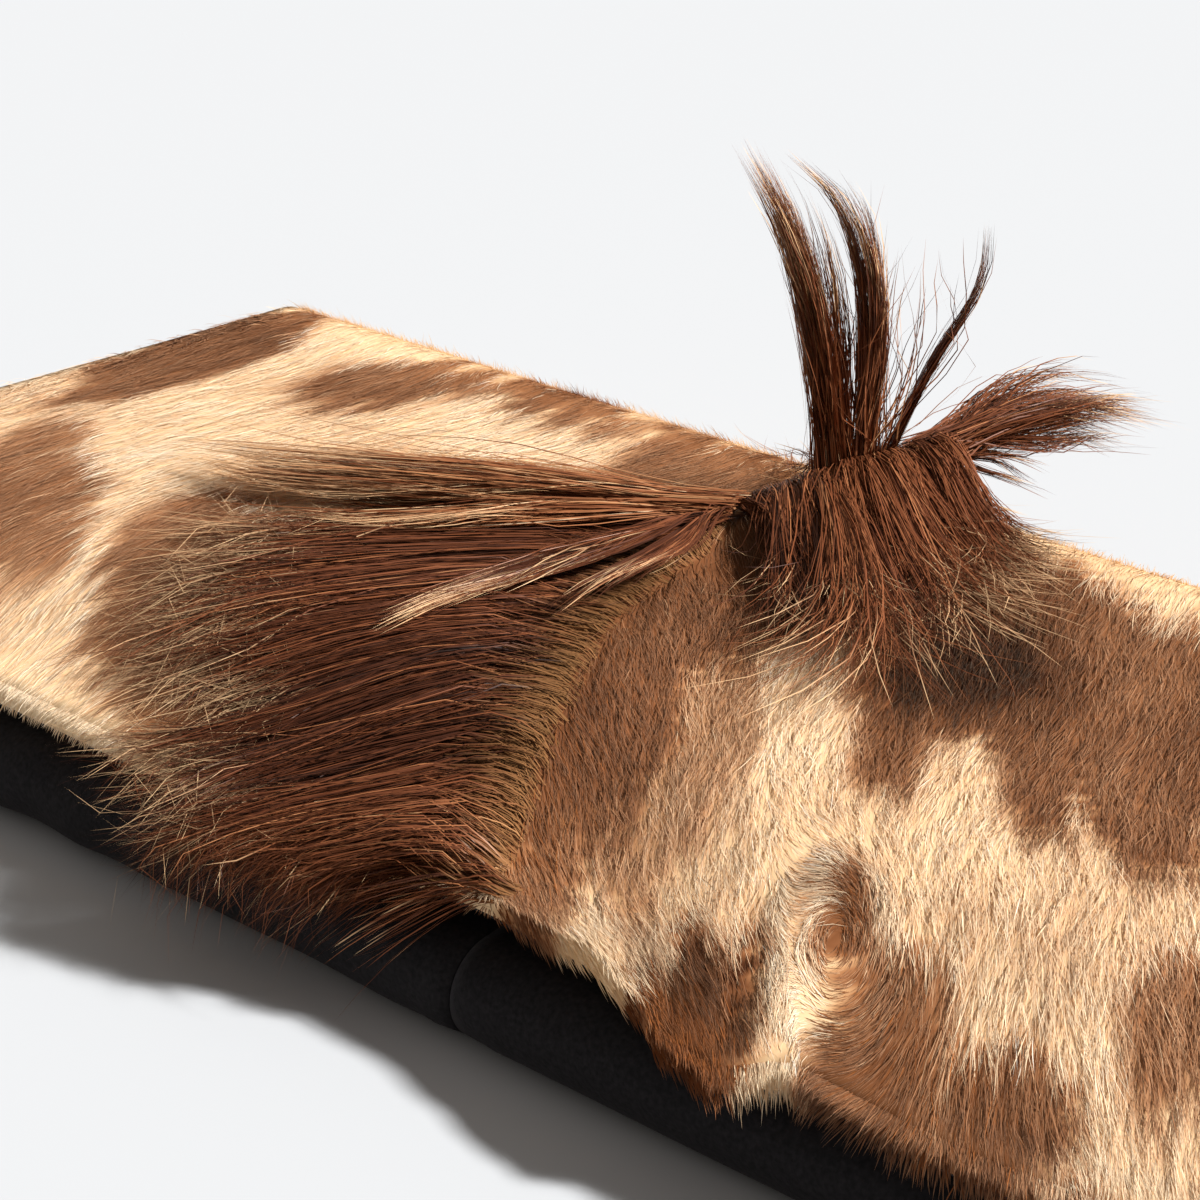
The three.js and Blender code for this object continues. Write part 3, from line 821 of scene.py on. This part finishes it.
def edge_hairs(count):
    """Hair that hangs over the raw near edge and hides it."""
    x = rng.uniform(-LENGTH / 2, LENGTH / 2, count)
    q = along(NEAR_EDGE, "y", x) + SKIN_INSET + 4 * rng.random(count) ** 2
    bare = (x < COVERED_FROM) | (x > COVERED_TO)
    x, q = x[bare], q[bare]
    count = len(x)
    level = rng.random(count)
    root = folded(x, q, HALF_GAP + SKIN_THICK * level)
    right = smooth((x - mane_x(q)) / 10)
    fx, fq = flow(x, q)
    lean = np.clip(fx / np.maximum(-fq, 0.4), -0.4, 2) + rng.normal(0, 0.16, count)
    lean = lean + 0.5 * (noise(x, q, 7, 44) - 0.5)
    ones = np.ones(count)
    start = unit(np.stack([lean, -ones, -0.2 - 0.5 * (1 - level)], -1))
    end = unit(np.stack([lean, -0.75 * ones, -0.7 * ones], -1))
    half = (mix(FRINGE_LEFT, FRINGE_RIGHT, right) * rng.normal(1, 0.2, count) / 2)[:, None]
    middle = root + half * start
    points = np.stack([root, middle, middle + half * end], 1)
    flat = unit(np.cross(start, [0, 0, 1.0])) * rng.uniform(0.08, 0.15, (count, 1))
    tone = hair_tone(x, q + 4) + rng.normal(0, 0.05, count)
    tone = coat_place(tone, x, q)
    return ribbon_arrays(points, np.stack([flat, flat * 0.85, flat * 0], 1), tone, 1.0, FRINGE_STEPS)


x = rng.uniform(30, LENGTH / 2, int(EDGE_ROOTS * DETAIL))
q = along(NEAR_EDGE, "y", x) + SKIN_INSET + EDGE_BAND * rng.random(len(x)) ** 1.2
length = rng.normal(11, 1.2, len(x))
near_rim = fur(x, q, length, rise=11, spread=6, width=rng.uniform(0.15, 0.25, len(x)), steps=2)
fringe = edge_hairs(int(FRINGE_HAIRS * DETAIL))
coat.append(hair_piece("fur_edge", [fringe, near_rim, whorl], fur_hair))

# Mane
FALL_SHARE = 0.74  # of the mane's curve, from the near edge
CREST_FROM = 0.73
EVEN_STEPS = np.linspace(0, 1, 8)  # where the points of a hair are along it
ROOT_STEPS = np.array([0, 0.05, 0.11, 0.19, 0.33, 0.52, 0.7, 0.86, 1])  # closer at the root
# By the place along the fall: length, way in plan in degrees, and fall past the near edge
FALL_REACH = rows(
    "x long turn hang",
    (0, 44, 208, 32),
    (0.05, 60, 216, 24),
    (0.12, 76, 224, 17),
    (0.2, 89, 230, 12),
    (0.4, 107, 237, 7),
    (0.7, 124, 236, 4),
    (0.88, 132, 229, 0),
    (1, 140, 221, 0),
)
OVERHANG = 34  # how far the hair stands out past the near edge before it only falls
UP_THE_NECK = 133  # the way the hair beside the parting starts, in degrees


def mane_arrays(points, widths, tone, pale, plain_end, steps_at):
    """Long hairs, each with its flat side turned at random about its own run."""
    ahead = np.gradient(points, axis=1)
    level = unit(np.cross(ahead, [0, 0, 1.0]) + [1e-6, 0, 0])
    above = unit(np.cross(level, ahead))
    roll = rng.normal(0, 0.5, len(points))[:, None, None]
    flat = level * np.cos(roll) + above * np.sin(roll)
    taper = np.clip(1.05 - np.where(pale, 0.4, 0.75)[:, None] * steps_at**2, 0.3, 1)
    sides = flat * (widths[:, None] / 2 * taper)[..., None]
    return ribbon_arrays(points, sides, tone, np.where(pale, 1.0, plain_end), steps_at)


def picks(count, low, high):
    return rng.uniform(low, high, count)


def walk(angle, reach, steps_at):
    """Plan offsets of hairs that turn as they go."""
    step = np.diff(steps_at, prepend=0)[None, :] * reach[:, None]
    return np.cumsum(np.cos(angle) * step, 1), np.cumsum(np.sin(angle) * step, 1)


STRAYS = 0.07
LOCKS = 13
STRANDS = 6  # in each lock
strand_count = LOCKS * STRANDS
lock_turn, strand_turn = rng.normal(0, 3.4, LOCKS), rng.normal(0, 1.3, strand_count)
lock_long, strand_long = picks(LOCKS, 0.78, 1.08), picks(strand_count, 0.9, 1.05)
strand_tone, strand_lift = rng.normal(0, 0.07, strand_count), picks(strand_count, 0, 4)
strand_curl, strand_phase = rng.normal(0, 18, strand_count), picks(strand_count, 0, 6.3)


def fall_hairs(count, low_share, high_share, tone, shortest, pale_share, gather=1.0, swing=0.0):
    """The flat fall: hairs gathered into strands, and strands into locks."""
    t = ROOT_STEPS[None, :]
    share = picks(count, low_share, high_share)
    strand = np.clip(np.floor(share * strand_count), 0, strand_count - 1).astype(int)
    lock = strand // STRANDS
    middle = mix(((strand + 0.5) / strand_count)[:, None], ((lock + 0.5) / LOCKS)[:, None], 0.88 * t**1.3)
    pull = picks(count, 0.8, 1)[:, None] * smooth((t - 0.12) * 1.3) * 0.97 * gather
    place = np.clip(mix(share[:, None], middle, pull), 0, 1)
    layer = rng.random(count)
    stray = rng.random(count) < STRAYS
    reach = along(FALL_REACH, "long", share) * lock_long[lock] * strand_long[strand]
    reach = reach * mix(shortest, 1.0, layer**0.45) * rng.normal(1, 0.04, count)
    turn = along(FALL_REACH, "turn", place) + (lock_turn[lock] + strand_turn[strand])[:, None]
    turn = turn + rng.normal(swing, 1.3 + 0.6 * swing, count)[:, None]
    turn = turn + rng.normal(3, 2.4, count)[:, None] * (t - 0.35)
    turn = turn + np.where(stray, rng.normal(0, 13, count), 0)[:, None] * t
    turn = turn + 5 * np.sin(t * 8 + strand_phase[strand][:, None]) * t
    turn = turn + rng.normal(0, 4, count)[:, None] * np.sin(t * 11 + picks(count, 0, 6.3)[:, None]) * t
    turn = turn + (strand_curl[strand] + rng.normal(0, 12, count))[:, None] * smooth((t - 0.62) / 0.38)
    turn = turn + rng.normal(0, 40, count)[:, None] * smooth((t - 0.8) / 0.2)
    off = np.clip(rng.normal(-5, 3.5, count), -11, 3)
    begin = mix(204, UP_THE_NECK, smooth((share + 0.01) / 0.14))
    begin = begin + rng.normal(0, 8, count) + 10 * (noise(share * 60, share * 0, 1, 54) - 0.5)
    angle = np.radians(mix(begin[:, None], turn, smooth(t / 0.2 + 0.14)))
    run_x, run_y = walk(angle, reach, ROOT_STEPS)
    root = mane_at(0.004 + place * FALL_SHARE)
    ahead = mane_forward(0.004 + place * FALL_SHARE)
    x = root[..., 0] + run_x + ahead[..., 1] * off[:, None]
    y = root[..., 1] + run_y - ahead[..., 0] * off[:, None]
    lift = 0.5 + 5 * layer**1.4 + strand_lift[strand] * 0.6 + np.where(stray, 3, 0)
    height = lift[:, None] * smooth(t * 4) * (1 - 0.5 * t) + rng.normal(0, 0.8, count)[:, None] * t**2
    edge = along(NEAR_EDGE, "y", x)
    beyond = np.maximum(0, edge + 3 - y)
    y = y + beyond - OVERHANG * np.tanh(beyond / OVERHANG)
    hang = along(FALL_REACH, "hang", share) * picks(count, 0.3, 1.2)
    z = hair_top(x, y) - 1.6 + 0.8 * smooth(t * 5) + height - hang[:, None] * (beyond / 30) ** 1.4
    low = np.where(y < edge - 1, 1.0, hair_top(x, y) - 1.8)
    points = np.stack([x, y, np.maximum(z, low)], -1)
    # Hairs lying lower are darker: painted shade under the hair above them
    shade = tone + strand_tone[strand] + rng.normal(0, 0.09, count) - 0.16 * (1 - layer)
    shade = np.where(rng.random(count) < 0.07, shade + 0.25, shade)
    pale = rng.random(count) < pale_share * smooth(share * 1.4 + 0.15)
    return mane_arrays(points, picks(count, 0.16, 0.34), shade, pale, FALL_PLAIN, ROOT_STEPS)


LOW_STRANDS = 40
LOW_STRAND_WIDE = 3.2


def low_lock(count, tone):
    """Hair at the near end of the parting, which hangs over the raw edge."""
    t = ROOT_STEPS[None, :]
    root_x = picks(count, 12, 57)
    edge = along(NEAR_EDGE, "y", root_x)
    inside = picks(count, 2, 9)
    strand = np.floor(root_x / LOW_STRAND_WIDE).astype(int)
    turn = rng.normal(205, 6, LOW_STRANDS)[strand] + rng.normal(0, 4, count)
    turn = turn[:, None] + rng.normal(4, 10, count)[:, None] * (t - 0.3)
    reach = picks(count, 20, 36) * mix(0.75, 1.0, smooth((root_x - 10) / 30))
    run_x, run_y = walk(np.radians(turn), reach, ROOT_STEPS)
    x, y = root_x[:, None] + run_x, (edge + inside)[:, None] + run_y
    beyond = np.maximum(0, along(NEAR_EDGE, "y", x) + 4 - y)
    lift = picks(count, 1, 4)[:, None] * smooth(t * 4)
    hang = rng.normal(22, 5, count)[:, None] * (beyond / 17) ** 1.2
    points = np.stack([x, y, np.maximum(hair_top(x, y) - 1.5 + lift - hang, 2.0)], -1)
    shade = tone + rng.normal(0, 0.07, LOW_STRANDS)[strand] + rng.normal(0, 0.1, count)
    widths = picks(count, 0.19, 0.38)
    pale = rng.random(count) < 0.15
    return mane_arrays(points, widths, shade, pale, FALL_PLAIN, ROOT_STEPS)


# The crest's ridge, which climbs from the fall to the far fold: its height, the length of the hair
# down its front and the turn of that hair, in degrees
RIDGE = rows(
    "x z reach turn",
    (0, 49, 20, -8),
    (0.15, 52, 36, -5),
    (0.3, 54.5, 78, -4),
    (0.45, 57.5, 118, -6),
    (0.62, 60.5, 92, 1),
    (0.8, 62, 66, 12),
    (1, 64.5, 48, 16),
)


def ridge_at(share):
    place = mix(CREST_FROM, 1, share)
    ground = mane_at(place)
    ahead = mane_forward(np.clip(place, 0, 0.99))
    return ground, ahead, along(RIDGE, "z", share)


KNOTS = 74  # wisps down a side of the ridge
FRONT_FROM = 0.09
BACK_FROM = 0.45


def slope_hairs(count, side, shorten, loose, tone):
    """Hair that falls down one side of the ridge in wisps; side is 1 in front, -1 behind."""
    t = EVEN_STEPS[None, :]
    knot = rng.integers(0, KNOTS, count)
    free = rng.random(count) < loose
    share = np.clip((knot + 0.5) / KNOTS + rng.normal(0, 0.012, count), 0, 1)
    share = mix(FRONT_FROM if side > 0 else BACK_FROM, 1, np.where(free, rng.random(count), share))
    up = np.clip(picks(KNOTS, 0.05, 1)[knot] + rng.normal(0, 0.12, count), 0, 1)
    ground, ahead, crown = ridge_at(share)
    out = side * np.stack([ahead[:, 1], -ahead[:, 0]], -1)
    root = ground + out * (7.5 * (1 - up) ** 1.2 - 1)[:, None]
    low = hair_top(root[:, 0], root[:, 1]) - 1
    root_z = mix(low, np.maximum(crown, low), 1 - (1 - up) ** 1.7)
    calm = mix(0.35, 1, smooth(share * 2.2))
    fan = side * along(RIDGE, "turn", share)
    fan = fan + calm * (rng.normal(0, 6, KNOTS)[knot] + rng.normal(0, 4, count))
    fan = fan + calm * np.where(free, rng.normal(0, 10, count), 0)
    turn = np.arctan2(out[:, 1], out[:, 0])[:, None] + np.radians(fan)[:, None]
    reach = along(RIDGE, "reach", share) * shorten * picks(KNOTS, 0.4, 1)[knot]
    reach = reach * np.where(free, picks(count, 0.25, 1), rng.normal(1, 0.09, count))
    reach = np.maximum(reach, picks(count, 9, 13))
    calm = calm * smooth(reach / 30)
    sway = np.radians(calm * (rng.normal(0, 13, KNOTS)[knot] + rng.normal(0, 9, count)))[:, None] * (t - 0.2)
    curl = np.radians(calm * (rng.normal(0, 24, KNOTS)[knot] + rng.normal(0, 22, count)))[:, None]
    angle = turn + sway + curl * smooth((t - 0.55) / 0.45)
    run_x, run_y = walk(angle, reach, EVEN_STEPS)
    sideways = (rng.normal(0, 1.6, KNOTS)[knot] + rng.normal(0, 1.2, count))[:, None] * t
    sideways = sideways * np.sin(6.5 * t + picks(KNOTS, 0, 6.3)[knot][:, None])
    x = root[:, :1] + run_x - np.sin(turn) * sideways
    y = root[:, 1:] + run_y + np.cos(turn) * sideways
    loft = (picks(KNOTS, 0, 7)[knot] + rng.normal(0, 0.9, count))[:, None] * (1.2 - 0.5 * t)
    loft = loft + (rng.normal(0, 2, KNOTS)[knot] + rng.normal(0, 1.2, count))[:, None] * t**3
    rise = np.minimum(5, 0.07 * reach) * up
    arch = root_z[:, None] + rise[:, None] * np.sin(np.pi * np.minimum(t * 1.1, 1))
    z = mix(arch, np.minimum(hair_top(x, y) + loft, arch), smooth(t * 1.4))
    over_edge = np.maximum(0, y - FAR_FOLD_Y - 6)
    points = np.stack([x, y, np.maximum(z, hair_top(x, y) - 0.6) - 0.3 * over_edge], -1)
    # Hair rooted high on the ridge is lighter and hair low on it darker: painted light on the ridge's top
    # and painted shade down its sides
    shade = tone + rng.normal(0, 0.07, KNOTS)[knot] + rng.normal(0, 0.08, count) + 0.24 * (up - 0.6)
    pale = rng.random(count) < picks(KNOTS, 0, 1)[knot] ** 1.6 * smooth((share - 0.15) * 2.2)
    return mane_arrays(points, picks(count, 0.14, 0.32), shade, pale, CREST_PLAIN, EVEN_STEPS)


# The way each tuft's middle line runs from its root
ROUTES = {
    "left": [(0, 0, 0), (-22, -19, 1), (-44, -35, 1), (-83, -58, -1), (-114, -63, -4)],
    "left upper": [(0, 0, 0), (-43, -33, 4), (-86, -54, 2), (-125, -63, -2)],
    "left lower": [(0, 0, 0), (-28, -31, 1), (-52, -54, -1), (-76, -70, -4)],
    "left loose": [(0, 0, 0), (-44, -34, 4), (-84, -56, 4), (-118, -64, 2)],
    "second": [(0, -1, -1), (-3, -40, 0), (-8, -75, -2), (-8, -101, -8)],
    "second short": [(0, -1, -1), (4, -30, 0), (5, -54, -3), (9, -70, -9)],
    "upright left": [(0, 0, -3), (-3.8, -3.5, 34), (-8.5, -8, 58), (-15, -14, 75)],
    "upright right": [(0, 0, -3), (0.6, 0.5, 34), (-3.4, -3.1, 59), (-12, -11, 72)],
    "thin": [(0, 0, -3), (7.3, 6.7, 21), (15, 14, 40), (16, 15, 55)],
    "outward": [(0, 0, -4), (2.5, 22, -3), (6, 48, -6), (11, 72, -14)],
    "low": [(0, 0, -6), (8, 14, -10), (13, 27, -18)],
    "loose": [(0, 0, -3), (2, 2, 26), (4, 6, 52)],
}
# Tufts: where they root along the ridge, their half width at the root and at the tip, their hairs,
# the wisps these gather into, their tone and how many have pale tips
TUFTS = [
    ("left", 0.1, 4, 9, 760, 9, 0.54, 0.6),
    ("left upper", 0.12, 2.4, 6, 260, 4, 0.56, 0.65),
    ("left lower", 0.08, 2.4, 7, 280, 4, 0.53, 0.6),
    ("left loose", 0.1, 4, 15, 150, 60, 0.58, 0.75),
    ("second", 0.06, 2.6, 7, 320, 6, 0.34, 0.28),
    ("second short", 0.06, 2.6, 8, 160, 5, 0.34, 0.25),
    ("upright left", 0.54, 3.4, 6.8, 860, 20, 0.43, 0.3),
    ("upright right", 0.64, 2.2, 4.2, 460, 9, 0.39, 0.3),
    ("thin", 0.73, 1.2, 3, 140, 4, 0.36, 0.1),
    ("outward", 0.92, 7, 14, 960, 14, 0.4, 0.3),
    ("low", 0.97, 1.8, 4, 120, 3, 0.34, 0.1),
    ("loose", 0.66, 4, 18, 70, 24, 0.46, 0.1),
]
TUFT_STEPS = 60
SECOND_ABOVE = 7  # how far over the coat a lying lock stays
LEFT_ABOVE = 4
UPRIGHT_ABOVE = -1


def tuft_hairs(name, share, root_wide, tip_wide, count, wisps, tone, pale_share):
    """Hair gathered into wisps around a tuft's middle line."""
    count = int(count * DETAIL)
    t = EVEN_STEPS[None, :, None]
    lying = name.startswith(("left", "second"))
    flatness = [1, 1, 0.5]
    ground, ahead, crown = ridge_at(np.array(share))
    line = spline(np.array(ROUTES[name], float), TUFT_STEPS) + [*ground, crown]
    wisp = rng.integers(0, wisps, count)
    longer = np.clip(picks(wisps, 0.68, 1)[wisp] * rng.normal(0.96, 0.14, count), 0.3, 1)[:, None]
    place = np.clip(EVEN_STEPS[None, :] * longer, 0, 1)
    steps = np.linspace(0, 1, TUFT_STEPS)
    middle = np.stack([np.interp(place, steps, line[:, k]) for k in range(3)], -1)
    wisp_off = np.clip(rng.normal(0, 0.5, (wisps, 3)), -0.8, 0.8) * flatness
    at_root = np.append(ahead, 0) * rng.normal(0, 0.6, (count, 1)) + rng.normal(0, 0.25, (count, 3))
    grown = smooth(np.minimum(1, 1.6 * t))
    offset = at_root[:, None] * root_wide * (1 - t) + wisp_off[wisp][:, None] * tip_wide * grown
    offset = offset + rng.normal(0, 0.24, (count, 1, 3)) * flatness * tip_wide * grown * (1 - 0.55 * t)
    bend = rng.normal(0, 0.3, (wisps, 1, 3))[wisp] + rng.normal(0, 0.16, (count, 1, 3))
    curl = bend * flatness * tip_wide * smooth((t - 0.55) / 0.45)
    wave = rng.normal(0, 0.7 if lying else 0.45, (count, 1, 3))
    wave = wave * np.sin(t * 8 + picks(count, 0, 6)[:, None, None]) * t
    points = middle + offset + curl + wave
    above = LEFT_ABOVE if lying else UPRIGHT_ABOVE
    if name.startswith("second"):
        above = SECOND_ABOVE
    floor = hair_top(points[..., 0], points[..., 1]) + above * np.minimum(1, 4 * EVEN_STEPS)
    inside = points[..., 1] < FAR_FOLD_Y
    points[..., 2] = np.where(inside, np.maximum(points[..., 2], floor), points[..., 2])
    shade = tone + rng.normal(0, 0.06, wisps)[wisp] + rng.normal(0, 0.09, count)
    shade = np.where(rng.random(count) < 0.08, shade + 0.2, shade)
    widths = picks(count, 0.19, 0.4)
    pale = rng.random(count) < pale_share
    return mane_arrays(points, widths, shade, pale, CREST_PLAIN, EVEN_STEPS)


FALL_HAIRS = 6200
LOW_FALL_HAIRS = 1200
LOW_LOCK_HAIRS = 700
SHORT_FALL_HAIRS = 600
fall = hair_piece(
    "mane_fall_hair",
    [
        fall_hairs(int(FALL_HAIRS * DETAIL), 0, 1, tone=0.29, shortest=0.5, pale_share=0.5),
        fall_hairs(int(LOW_FALL_HAIRS * DETAIL), 0, 0.17, 0.4, 0.5, 0.3, gather=0.3, swing=3),
        low_lock(int(LOW_LOCK_HAIRS * DETAIL), tone=0.46),
        fall_hairs(int(SHORT_FALL_HAIRS * DETAIL), 0, 1, tone=0.4, shortest=0.22, pale_share=0.1),
    ],
    fall_hair,
)
FRONT_HAIRS = 3700
SHORT_FRONT_HAIRS = 700
BACK_HAIRS = 400
crest = hair_piece(
    "mane_crest_hair",
    [
        slope_hairs(int(FRONT_HAIRS * DETAIL), 1, shorten=1.0, loose=0.25, tone=0.4),
        slope_hairs(int(SHORT_FRONT_HAIRS * DETAIL), 1, shorten=0.35, loose=1.0, tone=0.46),
        slope_hairs(int(BACK_HAIRS * DETAIL), -1, shorten=0.4, loose=0.4, tone=0.48),
        *(tuft_hairs(*row) for row in TUFTS),
    ],
    crest_hair,
)

# What each piece stands for
for piece, node, slot in (
    (hide, "hide", "hide"),
    (lining_left, "lining_left", "lining"),
    (lining_right, "lining_right", "lining"),
    (fall, "mane_fall", "mane"),
    (crest, "mane_crest", "mane"),
):
    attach(piece, "root")
    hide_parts(node)
for piece in coat:
    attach(piece, "root")

# Stage
FLOOR_SIZE = 12  # metres
bpy.ops.mesh.primitive_plane_add(size=FLOOR_SIZE, location=(0, 0, 0))
floor = bpy.context.object
floor.name = "floor"
paper, _, _, base = shader("paper", 0.9, 0.1)
base.inputs["Base Color"].default_value = linear(203, 206, 210)
floor.data.materials.append(paper)

# Light
KEY_FROM = Vector((1.2, 0.52, 1.0))
KEY_STRENGTH = 6.6
KEY_ANGLE = 0.1
KEY_COLOUR = (1, 0.99, 0.97)
SKY = (1, 0.91, 0.83, 1)
SKY_STRENGTH = 0.24
key = bpy.data.lights.new("key", "SUN")
key.energy = KEY_STRENGTH
key.angle = KEY_ANGLE
key.color = KEY_COLOUR
lamp = bpy.data.objects.new("key", key)
lamp.rotation_euler = (-KEY_FROM).to_track_quat("-Z", "Y").to_euler()
bpy.context.scene.collection.objects.link(lamp)
world = bpy.data.worlds.new("studio")
bpy.context.scene.world = world
world.use_nodes = True
sky = world.node_tree.nodes["Background"]
sky.inputs["Color"].default_value = SKY
sky.inputs["Strength"].default_value = SKY_STRENGTH

# The photo's view
CAMERA_AT = Vector((427.6, -477.3, 323.3)) * MM
CAMERA_AIM = Vector((-81.5, 74.5, 0)) * MM
LENS = 94.3
camera = bpy.data.objects.new("camera", bpy.data.cameras.new("camera"))
camera.location = CAMERA_AT
camera.rotation_euler = (CAMERA_AIM - CAMERA_AT).to_track_quat("-Z", "Y").to_euler()
camera.data.lens = LENS
camera.data.sensor_width = 36
camera.data.clip_start = 0.01
bpy.context.scene.collection.objects.link(camera)
bpy.context.scene.camera = camera
bpy.context.scene.view_settings.view_transform = "Standard"
